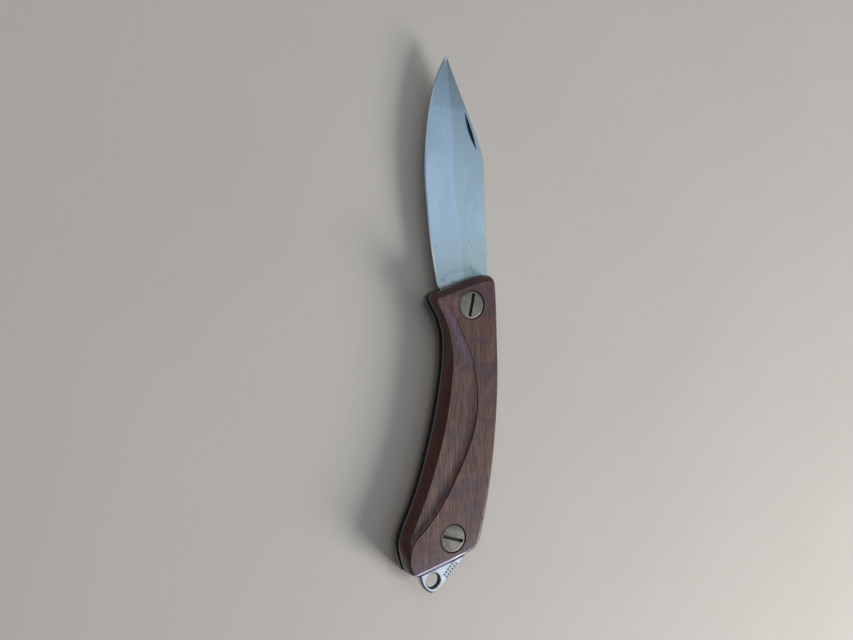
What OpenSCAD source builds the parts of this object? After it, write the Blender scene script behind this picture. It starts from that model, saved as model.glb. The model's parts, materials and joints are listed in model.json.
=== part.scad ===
// Folding grafting knife, lying open on its rear face: blade towards +Y, edge on the -X side, +Z up.

/* [Thicknesses] */
// Thickness of one wooden scale
scale_t = 4.5; // [4:0.1:5.5]
// Thickness of one steel liner
liner_t = 0.8; // [0.6:0.1:1.2]
// Thickness of the blade at the spine
blade_t = 2; // [1.6:0.1:2.4]
// Thickness of one pivot washer
washer_t = 0.18; // [0.1:0.02:0.3]
// Play between the blade and each washer
side_play = 0.02; // [0.01:0.01:0.05]

/* [Blade] */
// Distance from the pivot to the tip along the knife
tip_y = 84.5; // [80:0.5:90]
// Height of the blunt land along the cutting edge
edge_land = 0.3; // [0.1:0.05:0.6]
// Radius of the round tang about the pivot
tang_r = 7; // [6.6:0.1:7]
// Depth of the nail nick
nick_depth = 0.5; // [0.2:0.1:0.7]

/* [Binding screws] */
// Diameter of the slotted heads
head_d = 9.5; // [8.5:0.1:10]
// Thickness of the slotted heads
head_t = 1.8; // [1.2:0.1:2]
// How far the heads lie below the face of the wood
head_sink = 0.15; // [0:0.05:0.4]
// Gap around a head in its counterbore
head_gap = 0.15; // [0.1:0.05:0.3]
// Width of the screwdriver slot
slot_w = 1.1; // [0.8:0.1:1.4]
// Metal left between each end of the slot and the rim
slot_stop = 0.7; // [0.4:0.1:1.2]
// Depth of the screwdriver slot
slot_depth = 0.9; // [0.4:0.1:1]
// Outer diameter of the barrel nuts
barrel_d = 5; // [4.5:0.1:5]
// Diameter of the screw shanks
shank_d = 3; // [2.5:0.1:3.5]

/* [Pivot] */
// Outer diameter of the bush that the blade turns on
bush_d = 7; // [6.6:0.1:7.4]
// Diameter of the pivot washers
washer_d = 12; // [10:0.5:12]
// Radial clearance of the turning and sliding fits
fit = 0.05; // [0.02:0.01:0.1]

/* [Backspring and lanyard tab] */
// Diameter of the lanyard hole
lanyard_d = 5.2; // [4.5:0.1:5.4]
// Diameter of the pin through the middle of the backspring
spring_pin_d = 2.5; // [2:0.1:3]

/* [Scoop in the scales] */
// Deepest point of the thumb scoop
scoop_depth = 1.2; // [0.6:0.1:1.4]

/* [Hidden] */
$fn = 64;

// Layers from the table up
gap_t = blade_t + 2 * (washer_t + side_play);
rear_liner_z = scale_t;
gap_z = rear_liner_z + liner_t;
front_liner_z = gap_z + gap_t;
front_scale_z = front_liner_z + liner_t;
total_t = front_scale_z + scale_t;
middle_z = total_t / 2;
blade_z = middle_z - blade_t / 2;

// Places in the plane of the knife, from the pivot axis
pivot = [0, 0];
tail = [-6.4, -78.7];
spring_pin_at = [6.4, -48];
lanyard_at = [-10.9, -93.8];
// The pivot axis, from the middle of the open knife
pivot_from_middle = [6.5, 6.75];

// Outline of the handle at the liners, from the beak round by the top end, the back and the butt
handle_outline = [
    [-13.8, 2.2], [-12.8, 3.7], [-9.6, 4.8], [-5.5, 6.5], [-1, 8.3], [3.5, 9.6], [7, 10.2], [9, 9.3],
    [9.7, 7], [10.6, -8], [11.2, -27], [10.2, -47], [7.9, -65], [5.2, -78], [4.3, -81.3], [2.3, -83.3],
    [-4.5, -85.6], [-10, -87.5], [-16, -89.2], [-19.6, -90.1], [-21.8, -88.9], [-23.4, -84.5],
    [-24.3, -80], [-23.3, -75.5], [-19.8, -67.5], [-16.5, -58.5], [-13.7, -48.5], [-11.3, -38.5],
    [-9.5, -28.5], [-8.4, -18.5], [-8.6, -10.5], [-10.2, -4.7], [-12.4, -0.8]];
// The edge of the flat face, point for point beside the outline, with how far below the face the
// rounding starts and how round it is: 0 is a flat bevel, 1 a quarter round
face_outline = [
    [-13.1, 1.6, 2, 0.5], [-12.2, 2.2, 2.6, 0.3], [-9.1, 3.2, 2.6, 0.3], [-5, 4.7, 2.6, 0.3],
    [-0.3, 6.4, 2.6, 0.3], [3.4, 7.5, 2.6, 0.3], [6.2, 8, 2.4, 0.4], [7.6, 7.4, 2, 0.7],
    [8.1, 5.8, 1.6, 1], [9.1, -8, 1.6, 1], [9.7, -27, 1.6, 1], [8.7, -46.8, 1.6, 1],
    [6.4, -64.7, 1.6, 1], [3.7, -77.7, 1.6, 1], [2.8, -80.8, 1.5, 0.8], [1.4, -82.3, 1, 0.4],
    [-4.3, -84.6, 0.8, 1], [-9.8, -86.6, 0.8, 1], [-15.9, -88.3, 0.8, 1], [-19.6, -89.1, 0.9, 0.8],
    [-21.2, -88.2, 1.4, 0.3], [-22.3, -84.5, 2.4, 0.5], [-21.1, -80.3, 3.4, 0.5],
    [-19.5, -76.4, 4, 0.3], [-16.3, -68.4, 4.2, 0.25], [-12.9, -59.4, 4.2, 0.25],
    [-10, -49.2, 4.2, 0.25], [-8, -38.9, 4.1, 0.25], [-6.9, -28.6, 4, 0.25], [-6.5, -18.5, 4, 0.25],
    [-7.9, -10.8, 3.6, 0.25], [-9.9, -5, 3, 0.3], [-12.1, -1.1, 2.4, 0.4]];
// The step of the thumb scoop, from the beak end to the butt, and where its floor would meet the face
scoop_step = [
    [-7, -3], [-4.3, -8], [0.8, -19], [2.9, -33], [0.8, -45], [-6.2, -60], [-13.5, -71], [-24.5, -82]];
scoop_top_y = 4;
// Inner edge of the backspring, from its free end to the corner of the butt
spring_inside = [
    [7.2, 2.8], [7.3, 0], [8, -5], [8.4, -10], [7.9, -18], [6.4, -31], [4.3, -43.5], [0.6, -56.5],
    [-4.5, -69], [-9.2, -76.5], [-11, -81], [-14.5, -86], [-20.5, -87.5]];
// Edge of the lanyard tab below the butt
tab_edge = [
    [-17.6, -91.4], [-16.1, -92], [-15.4, -94], [-14.3, -96], [-12.6, -97.5], [-11, -98], [-9.3, -97.5],
    [-7.6, -96.2], [-4.9, -93.4], [-1.8, -89.9], [1.6, -86]];
// Cutting edge, grind line and spine of the blade, from the heel to the tip
cutting_edge = [
    [-8.6, 5], [-9.7, 6], [-10.7, 10], [-12.4, 19], [-14.2, 31.5], [-15.3, 45], [-14.9, 57], [-13.4, 68.3], [-10.9, 77.5], [-7.6, tip_y]];
grind_line = [[0.4, 5], [-2, 26], [-4.2, 40], [-4.8, 52], [-5.4, 64], [-6.6, 76], [-7.6, tip_y]];
spine_line = [
    [9.7, 5], [8.5, 27], [7.8, 40], [7.4, 48.5], [6.3, 53.6], [-0.5, 68.6], [-7.6, tip_y]];
// Where the heel of the blade and the shoulder that stops it against the spring lie
heel_y = 5;
shoulder_y = 3;
// Ends of the nail nick on the front of the blade
nick_ends = [[0, 64], [4, 55]];

// Smooth curve through a list of points, with steps pieces between each pair
function slope(p, i, closed) =
    let (n = len(p),
         a = closed ? p[(i + n - 1) % n] : p[max(i - 1, 0)],
         b = p[i],
         c = closed ? p[(i + 1) % n] : p[min(i + 1, n - 1)])
    (c - a) / (norm(c - b) + norm(b - a));
function between(a, b, ma, mb, t) =
    let (d = norm(b - a), u = 1 - t)
    a * (u * u * (1 + 2 * t)) + b * (t * t * (3 - 2 * t)) + (ma * (u * u * t) - mb * (t * t * u)) * d;
function curve(p, steps, closed = false) =
    let (n = len(p), last = closed ? n : n - 1)
    concat([for (i = [0:last - 1], k = [0:steps - 1])
                between(p[i], p[(i + 1) % n], slope(p, i, closed), slope(p, (i + 1) % n, closed), k / steps)],
           closed ? [] : [p[n - 1]]);

// Where a curve that climbs steadily in Y has the height y
function x_at(c, y, i = 0) =
    i >= len(c) - 2 || y <= c[i + 1][1]
    ? c[i][0] + (c[i + 1][0] - c[i][0]) * (y - c[i][1]) / (c[i + 1][1] - c[i][1])
    : x_at(c, y, i + 1);

// Closed solid through rings of points that all have the same count; cap lists the polygons of an end
module skin(rings, cap) {
    m = len(rings);
    n = len(rings[0]);
    ends = is_undef(cap) ? [[for (i = [0:n - 1]) i]] : cap;
    polyhedron(
        points = [for (r = rings, p = r) p],
        faces = concat(
            [for (c = ends) [for (k = [len(c) - 1:-1:0]) c[k]]],
            [for (k = [0:m - 2], i = [0:n - 1])
                let (j = (i + 1) % n, a = k * n, b = a + n) [a + i, a + j, b + i]],
            [for (k = [0:m - 2], i = [0:n - 1])
                let (j = (i + 1) % n, a = k * n, b = a + n) [a + j, b + j, b + i]],
            [for (c = ends) [for (i = c) (m - 1) * n + i]]));
}

outline = curve(handle_outline, 3, true);
face = curve(face_outline, 3, true);
// The rear scale is bevelled further in along the slot, from the liner down
tucked_face = [for (i = [0:len(face) - 1])
    let (share = min(max((i - 57) / 6, 0), 1) + min(max((9 - i) / 6, 0), 1),
         further = max(2.6 - face[i][0] + outline[i][0], 0) * share)
    [face[i][0] + further, face[i][1], face[i][2] + (scale_t - 0.2 - face[i][2]) * share, face[i][3] * (1 - share)]];
// The flat of a scale as simple polygons: the top end, strips across the handle, and the butt
handle_cap = concat(
    [concat([24], [for (i = [0:23]) i])],
    [for (k = [0:20]) [24 + k, 25 + k, 97 - 2 * k, 98 - 2 * k, (99 - 2 * k) % 99]],
    [[for (i = [45:57]) i]]);

// One ring of a scale's skin: t goes from 0 at the wall to 1 at the face
function scale_ring(face, t, h) =
    [for (i = [0:len(outline) - 1])
        let (drop = face[i][2],
             round = face[i][3],
             inset = (1 - round) * t + round * (1 - cos(90 * t)),
             rise = (1 - round) * t + round * sin(90 * t),
             p = outline[i] + ([face[i][0], face[i][1]] - outline[i]) * inset)
        [p[0], p[1], h - drop * (1 - rise)]];
function flat_ring(p, z) = [for (q = p) [q[0], q[1], z]];

// Cutter of the thumb scoop: its floor sinks from the beak to the butt, open past the hollow side
module scoop_cutter(h) {
    step = curve(scoop_step, 3);
    reach = 50;
    slant = atan(scoop_depth / (scoop_top_y - scoop_step[len(scoop_step) - 2][1]));
    translate([0, scoop_top_y, h]) rotate([slant, 0, 0]) linear_extrude(3)
        polygon(concat([for (p = step) p - [0, scoop_top_y]], [[-reach, -reach], [-reach, step[0][1] - scoop_top_y]]));
}

// A wooden scale standing on z = 0 with its face up
module scale_body(face) {
    difference() {
        skin([flat_ring(outline, 0), scale_ring(face, 0, scale_t), scale_ring(face, 0.35, scale_t),
              scale_ring(face, 0.7, scale_t), flat_ring(face, scale_t)], handle_cap);
        scoop_cutter(scale_t);
        for (at = [pivot, tail]) translate(at) {
            translate([0, 0, -1]) cylinder(d = barrel_d + 2 * fit, h = scale_t + 2);
            translate([0, 0, scale_t - head_t - head_sink]) cylinder(d = head_d + 2 * head_gap, h = scale_t);
        }
    }
}

// A liner standing on z = 0, as wide as the handle
module liner_body() {
    difference() {
        linear_extrude(liner_t) polygon(outline);
        for (at = [pivot, tail]) translate([at[0], at[1], -1]) cylinder(d = barrel_d + 2 * fit, h = liner_t + 2);
        translate([spring_pin_at[0], spring_pin_at[1], -1]) cylinder(d = spring_pin_d, h = liner_t + 2);
    }
}

// Every piece goes through this into the frame whose origin lies under the middle of the open knife
module placed() translate([pivot_from_middle[0], pivot_from_middle[1], 0]) children();

module front_scale() color("#7a4a42") placed()
    translate([0, 0, front_scale_z]) scale_body(face);

module rear_scale() color("#7a4a42") placed()
    translate([0, 0, scale_t]) mirror([0, 0, 1]) scale_body(tucked_face);

module front_liner() color("#c8ccd0") placed()
    translate([0, 0, front_liner_z]) liner_body();

module rear_liner() color("#c8ccd0") placed()
    translate([0, 0, rear_liner_z]) liner_body();

// Points of the outline between two of its control points
function outline_part(first, last) = [for (i = [first * 3:last * 3]) outline[i]];

module backspring() color("#d5dadf") placed()
    translate([0, 0, gap_z]) difference() {
        linear_extrude(gap_t) polygon(concat(
            [[10, 2.8]], outline_part(9, 15), [[1.6, -86]],
            [for (i = [len(tab_edge) * 3 - 4:-1:0]) curve(tab_edge, 3)[i]],
            outline_part(19, 20),
            [for (i = [len(spring_inside) * 3 - 3:-1:0]) curve(spring_inside, 3)[i]]));
        translate([tail[0], tail[1], -1]) cylinder(d = barrel_d + 2 * fit, h = gap_t + 2);
        translate([spring_pin_at[0], spring_pin_at[1], -1]) cylinder(d = spring_pin_d, h = gap_t + 2);
        translate([lanyard_at[0], lanyard_at[1], -1]) cylinder(d = lanyard_d, h = gap_t + 2);
    }

// One cross section of the ground blade at the height y
function blade_section(y, e, g, s) =
    let (a = x_at(e, y), b = x_at(g, y), c = x_at(s, y), m = blade_t / 2, w = edge_land / 2)
    [[c, y, 0], [c, y, blade_t], [b, y, blade_t], [a, y, m + w], [a, y, m - w], [b, y, 0]];

module blade() color("#c3d0d8") placed()
    translate([0, 0, blade_z]) difference() {
        union() {
            skin(let (e = curve(cutting_edge, 4), g = curve(grind_line, 4), s = curve(spine_line, 4),
                      low = heel_y, high = tip_y - 0.15, count = 30)
                 [for (k = [0:count]) blade_section(low + (high - low) * (1 - pow(1 - k / count, 1.5)), e, g, s)]);
            cylinder(r = tang_r, h = blade_t);
            linear_extrude(blade_t) polygon([[9.5, 8], [9.5, shoulder_y], [4, shoulder_y], [1, 4], [1, 8]]);
        }
        translate([0, 0, -1]) cylinder(d = bush_d + 2 * fit, h = blade_t + 2);
        nick_cutter();
    }

// The nail nick: a long shallow wedge beside the clip
module nick_cutter() {
    along = nick_ends[1] - nick_ends[0];
    translate([nick_ends[0][0], nick_ends[0][1], blade_t])
        rotate([0, 0, atan2(along[1], along[0])])
        rotate([90, 0, 90])
        linear_extrude(norm(along)) polygon([[-0.5, 0.3], [-0.5, -nick_depth], [0.7, 0.3]]);
}

// A slotted head with its face at z = 0, and the slot turned to angle
module slotted_head(angle) {
    difference() {
        translate([0, 0, -head_t]) cylinder(d = head_d, h = head_t);
        rotate([0, 0, angle]) translate([slot_stop - head_d / 2, -slot_w / 2, -slot_depth])
            cube([head_d - 2 * slot_stop, slot_w, 2]);
    }
}

// Play at the end of a shank and of a barrel
end_play = 0.4;
barrel_l = total_t - 2 * (head_t + head_sink) - end_play;
shank_l = barrel_l - 2;

module binding_screw(at, angle) placed()
    translate([at[0], at[1], total_t - head_sink]) {
        slotted_head(angle);
        translate([0, 0, -head_t - shank_l]) cylinder(d = shank_d, h = shank_l);
    }

module barrel_nut(at, angle) placed()
    translate([at[0], at[1], head_sink]) difference() {
        union() {
            mirror([0, 0, 1]) slotted_head(angle);
            translate([0, 0, head_t]) cylinder(d = barrel_d, h = barrel_l);
        }
        translate([0, 0, head_t + end_play]) cylinder(d = shank_d, h = barrel_l);
    }

module pivot_screw() color("#b9ab94") binding_screw(pivot, 79);
module pivot_barrel_nut() color("#b9ab94") barrel_nut(pivot, 30);
module tail_screw() color("#b9ab94") binding_screw(tail, -18);
module tail_barrel_nut() color("#b9ab94") barrel_nut(tail, -50);

// A ring on the pivot axis
module ring(outer, inner, h, z, colour) color(colour) placed()
    translate([0, 0, z]) difference() {
        cylinder(d = outer, h = h);
        translate([0, 0, -1]) cylinder(d = inner, h = h + 2);
    }

module pivot_bush() ring(bush_d, barrel_d + 2 * fit, gap_t, gap_z, "#b58b4a");
module front_pivot_washer()
    ring(washer_d, bush_d + 2 * fit, washer_t, front_liner_z - washer_t, "#c69c5a");
module rear_pivot_washer() ring(washer_d, bush_d + 2 * fit, washer_t, gap_z, "#c69c5a");

module spring_pin() color("#9aa0a6") placed()
    translate([spring_pin_at[0], spring_pin_at[1], rear_liner_z])
        cylinder(d = spring_pin_d, h = gap_t + 2 * liner_t);

front_scale();
rear_scale();
front_liner();
rear_liner();
backspring();
blade();
pivot_screw();
pivot_barrel_nut();
tail_screw();
tail_barrel_nut();
pivot_bush();
front_pivot_washer();
rear_pivot_washer();
spring_pin();
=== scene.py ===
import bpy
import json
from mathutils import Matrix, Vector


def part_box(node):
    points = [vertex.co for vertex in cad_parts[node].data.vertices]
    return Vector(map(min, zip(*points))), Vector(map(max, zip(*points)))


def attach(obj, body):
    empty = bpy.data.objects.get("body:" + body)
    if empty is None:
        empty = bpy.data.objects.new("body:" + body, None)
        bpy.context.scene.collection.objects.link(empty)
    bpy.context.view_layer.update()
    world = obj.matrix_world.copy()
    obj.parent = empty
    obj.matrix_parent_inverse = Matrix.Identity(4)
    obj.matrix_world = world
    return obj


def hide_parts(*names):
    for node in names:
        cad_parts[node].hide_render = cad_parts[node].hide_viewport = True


bl_info = {
    "name": "Grafting Knife",
    "version": (1, 0, 0),
    "blender": (4, 5, 0),
    "location": "3D View > Sidebar > Knife",
    "description": "Builds a folding grafting knife round its fixed frame",
    "category": "Add Mesh",
}

import json
import math

import bmesh
import bpy
from bpy.props import FloatProperty, FloatVectorProperty, PointerProperty
from mathutils import Matrix, Vector

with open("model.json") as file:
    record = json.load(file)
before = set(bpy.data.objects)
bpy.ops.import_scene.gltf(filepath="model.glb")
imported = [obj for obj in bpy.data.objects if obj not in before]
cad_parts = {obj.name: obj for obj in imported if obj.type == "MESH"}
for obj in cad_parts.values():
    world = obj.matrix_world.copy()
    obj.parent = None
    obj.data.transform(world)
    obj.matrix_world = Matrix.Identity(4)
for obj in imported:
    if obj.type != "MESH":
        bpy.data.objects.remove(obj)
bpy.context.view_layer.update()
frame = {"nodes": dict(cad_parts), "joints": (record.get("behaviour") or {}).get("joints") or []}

MM = 0.001
PIVOT = Vector(frame["joints"][0]["pos_m"])


def middle(node):
    """Middle of a CAD node's box, on the plan of the knife."""
    low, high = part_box(node)
    return (low + high) / 2


TAIL = middle("tail_screw")
TABLE_TO_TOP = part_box("front_scale")[1].z
HEAD_RADIUS = (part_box("pivot_screw")[1].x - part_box("pivot_screw")[0].x) / 2
HEAD_SUNK = TABLE_TO_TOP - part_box("pivot_screw")[1].z

# Outlines in millimetres from the pivot axis, +Y towards the tip of the blade.
# The handle at its liners, from the beak round by the top end, the back and the butt.
HANDLE = [
    (-13.8, 2.2), (-12.8, 3.7), (-9.6, 4.8), (-5.5, 6.5), (-1, 8.3), (3.5, 9.6), (7, 10.2), (9, 9.3),
    (9.7, 7), (10.6, -8), (11.2, -27), (10.2, -47), (7.9, -65), (5.2, -78), (4.3, -81.3), (2.3, -83.3),
    (-4.5, -85.6), (-10, -87.5), (-16, -89.2), (-19.6, -90.1), (-21.8, -88.9), (-23.4, -84.5),
    (-24.3, -80), (-23.3, -75.5), (-19.8, -67.5), (-16.5, -58.5), (-13.7, -48.5), (-11.3, -38.5),
    (-9.5, -28.5), (-8.4, -18.5), (-8.6, -10.5), (-10.2, -4.7), (-12.4, -0.8),
]
# The edge of the flat face beside it: x, y, how far down the rounding starts, and how round it is.
FACE = [
    (-13.1, 1.6, 2, 0.5), (-12.2, 2.2, 2.6, 0.3), (-9.1, 3.2, 2.6, 0.3), (-5, 4.7, 2.6, 0.3),
    (-0.3, 6.4, 2.6, 0.3), (3.4, 7.5, 2.6, 0.3), (6.2, 8, 2.4, 0.4), (7.6, 7.4, 2, 0.7),
    (8.1, 5.8, 1.6, 1), (9.1, -8, 1.6, 1), (9.7, -27, 1.6, 1), (8.7, -46.8, 1.6, 1),
    (6.4, -64.7, 1.6, 1), (3.7, -77.7, 1.6, 1), (2.8, -80.8, 1.5, 0.8), (1.4, -82.3, 1, 0.4),
    (-4.3, -84.6, 0.8, 1), (-9.8, -86.6, 0.8, 1), (-15.9, -88.3, 0.8, 1), (-19.6, -89.1, 0.9, 0.8),
    (-21.2, -88.2, 1.4, 0.3), (-22.3, -84.5, 2.4, 0.5), (-21.1, -80.3, 3.4, 0.5),
    (-19.5, -76.4, 4, 0.3), (-16.3, -68.4, 4.2, 0.25), (-12.9, -59.4, 4.2, 0.25),
    (-10, -49.2, 4.2, 0.25), (-8, -38.9, 4.1, 0.25), (-6.9, -28.6, 4, 0.25), (-6.5, -18.5, 4, 0.25),
    (-7.9, -10.8, 3.6, 0.25), (-9.9, -5, 3, 0.3), (-12.1, -1.1, 2.4, 0.4),
]
# The step of the thumb scoop, from the beak end to the butt: x, y and the share of the full depth.
SCOOP = [
    (-12.6, 1.3, 0.1), (-8.6, -0.4, 0.17), (-4.3, -8, 0.24), (0.8, -19, 0.32), (2.9, -33, 0.47),
    (0.8, -45, 0.68), (-6.2, -60, 0.92), (-13.5, -71, 1), (-24.5, -82, 1),
]
# Inner edge of the backspring, from its free end to the corner of the butt.
SPRING_INSIDE = [
    (7.2, 2.8), (7.3, 0), (8, -5), (8.4, -10), (7.9, -18), (6.4, -31), (4.3, -43.5), (0.6, -56.5),
    (-4.5, -69), (-9.2, -76.5), (-11, -81), (-14.5, -86), (-20.5, -87.5),
]
# Edge of the lanyard tab below the butt.
TAB = [
    (-17.6, -91.4), (-16.1, -92), (-15.4, -94), (-14.3, -96), (-12.6, -97.5), (-11, -98),
    (-9.3, -97.5), (-7.6, -96.2), (-4.9, -93.4), (-1.8, -89.9), (1.6, -86),
]
LANYARD = (-10.9, -93.8)
SPRING_PIN = (6.4, -48)
# Cutting edge, grind line and spine of the blade, from the heel to the tip.
EDGE = [
    (-8.6, 5), (-9.7, 6), (-10.7, 10), (-12.4, 19), (-14.2, 31.5), (-15.3, 45), (-14.9, 57),
    (-13.4, 68.3), (-10.9, 77.5), (-7.6, 84.5),
]
GRIND = [(0.4, 5), (-2, 26), (-4.2, 40), (-4.8, 52), (-5.4, 64), (-6.6, 76), (-7.6, 84.5)]
SPINE = [(9.7, 5), (8.5, 27), (7.8, 40), (7.4, 48.5), (6.3, 53.6), (-0.5, 68.6), (-7.6, 84.5)]
SHOULDER_Y = 3
NICK = ((-0.5, 65.8), (4.5, 53.2))
# A point and a heading in degrees: along the edge of the butt, and along the shallow end of the scoop.
BUTT_EDGE = ((-4.3, -84.6), 196.39)
SCOOP_END = ((-5, -10.4), -63.19)

# Radii and heights shared by pieces that fit each other, in metres.
HEAD_THICK = 1.8 * MM
HEAD_GAP = 0.15 * MM
SHANK = 1.5 * MM
BARREL = 2.5 * MM
BARREL_HOLE = 2.55 * MM
BARREL_FLOOR = 2.2 * MM
TANG = 7 * MM
PIVOT_HOLE = 3.55 * MM
PIN_HOLE = 1.25 * MM
LANYARD_HOLE = 2.6 * MM
LANYARD_LIP = 0.35 * MM
# A turned shape stops this far from its axis, so that its middle is a tiny flat and not a point.
AXIS = 0.02 * MM


# ---------------------------------------------------------------- settings


class KnifeWood(bpy.types.PropertyGroup):
    """The wooden scales"""

    scoop_depth: FloatProperty(
        name="Scoop depth", description="Deepest point of the thumb scoop", default=1.2 * MM,
        min=0.2 * MM, max=1.4 * MM, subtype="DISTANCE", unit="LENGTH")
    fillet: FloatProperty(
        name="Scoop fillet", description="Width of the hollow beside the step of the scoop",
        default=3.0 * MM, subtype="DISTANCE", unit="LENGTH")
    heart: FloatVectorProperty(
        name="Wood", description="Main colour of the wood", subtype="COLOR", default=(0.103, 0.047, 0.035))
    dark: FloatVectorProperty(
        name="Dark streaks", description="Colour of the dark streaks", subtype="COLOR",
        default=(0.045, 0.022, 0.019))
    light: FloatVectorProperty(
        name="Light streaks", description="Colour of the light fibres", subtype="COLOR",
        default=(0.165, 0.089, 0.071))
    plum: FloatVectorProperty(
        name="Plum figure", description="Colour of the cloudy figure", subtype="COLOR",
        default=(0.062, 0.032, 0.042))


class KnifeSteel(bpy.types.PropertyGroup):
    """The blade and the backspring"""

    edge_land: FloatProperty(
        name="Edge land", description="Height of the blunt land along the cutting edge",
        default=0.3 * MM, subtype="DISTANCE", unit="LENGTH")
    edge_bevel: FloatProperty(
        name="Edge bevel", description="Width of the small second bevel along the cutting edge",
        default=0.45 * MM, subtype="DISTANCE", unit="LENGTH")
    nick_width: FloatProperty(
        name="Nail nick width", description="Width of the nail nick", default=1.45 * MM,
        subtype="DISTANCE", unit="LENGTH")
    nick_depth: FloatProperty(
        name="Nail nick depth", description="Depth of the nail nick", default=0.55 * MM,
        subtype="DISTANCE", unit="LENGTH")
    tab_bevel: FloatProperty(
        name="Tab bevel", description="Width of the bright bevel round the lanyard tab",
        default=0.6 * MM, subtype="DISTANCE", unit="LENGTH")
    blade: FloatVectorProperty(
        name="Blade steel", description="Colour of the ground blade", subtype="COLOR",
        default=(0.645, 0.76, 0.865))
    spring: FloatVectorProperty(
        name="Spring steel", description="Colour of the backspring and its tab", subtype="COLOR",
        default=(0.47, 0.51, 0.57))


class KnifeScrews(bpy.types.PropertyGroup):
    """The binding screws and their barrel nuts"""

    slot_width: FloatProperty(
        name="Slot width", description="Width of the screwdriver slot", default=1.1 * MM,
        subtype="DISTANCE", unit="LENGTH")
    slot_depth: FloatProperty(
        name="Slot depth", description="Depth of the screwdriver slot", default=0.9 * MM,
        subtype="DISTANCE", unit="LENGTH")
    slot_stop: FloatProperty(
        name="Slot stop", description="Metal left between each end of the slot and the rim",
        default=0.7 * MM, subtype="DISTANCE", unit="LENGTH")
    crown: FloatProperty(
        name="Crown", description="How much the middle of a head stands over its rim",
        default=0.1 * MM, subtype="DISTANCE", unit="LENGTH")
    metal: FloatVectorProperty(
        name="Screw metal", description="Colour of the dull nickel silver", subtype="COLOR",
        default=(0.205, 0.19, 0.16))


class KnifeSettings(bpy.types.PropertyGroup):
    """All sizes and colours that can be changed"""

    wood: PointerProperty(type=KnifeWood)
    steel: PointerProperty(type=KnifeSteel)
    screws: PointerProperty(type=KnifeScrews)


# ---------------------------------------------------------------- curves and meshes


def curve(points, steps, closed=False):
    """Smooth curve through a list of points, with steps pieces between each pair."""
    p = [Vector(q) for q in points]
    n = len(p)

    def slope(i):
        before = p[(i - 1) % n] if closed else p[max(i - 1, 0)]
        after = p[(i + 1) % n] if closed else p[min(i + 1, n - 1)]
        return (after - before) / ((after - p[i]).length + (p[i] - before).length)

    out = []
    for i in range(n if closed else n - 1):
        a, b = p[i], p[(i + 1) % n]
        ma, mb, d = slope(i), slope((i + 1) % n), (b - a).length
        for k in range(steps):
            t = k / steps
            u = 1 - t
            out.append(
                a * (u * u * (1 + 2 * t)) + b * (t * t * (3 - 2 * t))
                + (ma * (u * u * t) - mb * (t * t * u)) * d)
    return out if closed else out + [p[-1]]


def x_at(line, y):
    """Where a curve that climbs steadily in Y has the height y."""
    for a, b in zip(line, line[1:]):
        if y <= b.y:
            return a.x + (b.x - a.x) * (y - a.y) / (b.y - a.y)
    return line[-1].x


def placed(x, y, z):
    """A point given in millimetres from the pivot axis and the table."""
    return Vector((PIVOT.x + x * MM, PIVOT.y + y * MM, z * MM))


def skin(rings, ends=None):
    """Vertices and faces of a closed solid through rings of points of one count; ends lists the
    polygons of an end where that isn't a simple shape."""
    n, m = len(rings[0]), len(rings)
    ends = ends or [list(range(n))]
    faces = [list(end) for end in ends]
    faces += [[(m - 1) * n + i for i in reversed(end)] for end in ends]
    for k in range(m - 1):
        for i in range(n):
            j = (i + 1) % n
            faces.append([k * n + i, (k + 1) * n + i, (k + 1) * n + j, k * n + j])
    return [p for ring in rings for p in ring], faces


def turned(profile, centre, sides=96):
    """A solid turned round the vertical axis through centre; the profile runs along (radius, height)."""
    rings = []
    for radius, height in profile:
        rings.append([
            Vector((centre[0] + radius * math.cos(2 * math.pi * i / sides),
                    centre[1] + radius * math.sin(2 * math.pi * i / sides), height))
            for i in range(sides)])
    return skin(rings)


def block(length, width, height, centre, angle):
    """An upright block turned about its vertical axis."""
    turn = Matrix.Translation(centre) @ Matrix.Rotation(angle, 4, "Z")
    corners = [(-1, -1), (1, -1), (1, 1), (-1, 1)]
    return skin([
        [turn @ Vector((sx * length / 2, sy * width / 2, sz * height / 2)) for sx, sy in corners]
        for sz in (-1, 1)])


def new_object(name, shape):
    """A mesh object of that shape, with its faces turned outwards."""
    mesh = bpy.data.meshes.new(name)
    mesh.from_pydata([tuple(v) for v in shape[0]], [], shape[1])
    bm = bmesh.new()
    bm.from_mesh(mesh)
    bmesh.ops.recalc_face_normals(bm, faces=bm.faces)
    bm.to_mesh(mesh)
    bm.free()
    obj = bpy.data.objects.new(name, mesh)
    bpy.context.scene.collection.objects.link(obj)
    return obj


def apply_modifiers(obj):
    """Turns what an object's modifiers make into its own mesh."""
    bpy.context.view_layer.update()
    graph = bpy.context.evaluated_depsgraph_get()
    made = bpy.data.meshes.new_from_object(obj.evaluated_get(graph))
    obj.modifiers.clear()
    old, obj.data = obj.data, made
    bpy.data.meshes.remove(old)
    made.name = obj.name


def combine(obj, shape, operation="DIFFERENCE"):
    """Cuts a shape out of an object, or joins it on."""
    tool = new_object("tool", shape)
    step = obj.modifiers.new("combine", "BOOLEAN")
    step.operation = operation
    step.solver = "EXACT"
    step.object = tool
    apply_modifiers(obj)
    bpy.data.objects.remove(tool)
    if not obj.data.polygons:
        raise RuntimeError(f"{obj.name}: nothing is left after a cut")


def soften(obj, width, sharp_from=30):
    """Small rounding along every sharp edge, and smooth shading between the flat faces."""
    if width:
        step = obj.modifiers.new("edges", "BEVEL")
        step.width = width
        step.segments = 2
        step.limit_method = "ANGLE"
        step.angle_limit = math.radians(sharp_from)
        step.use_clamp_overlap = True
        apply_modifiers(obj)
    for face in obj.data.polygons:
        face.use_smooth = True
    obj.data.set_sharp_from_angle(angle=math.radians(sharp_from + 5))
    step = obj.modifiers.new("normals", "WEIGHTED_NORMAL")
    step.keep_sharp = True
    return obj


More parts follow.
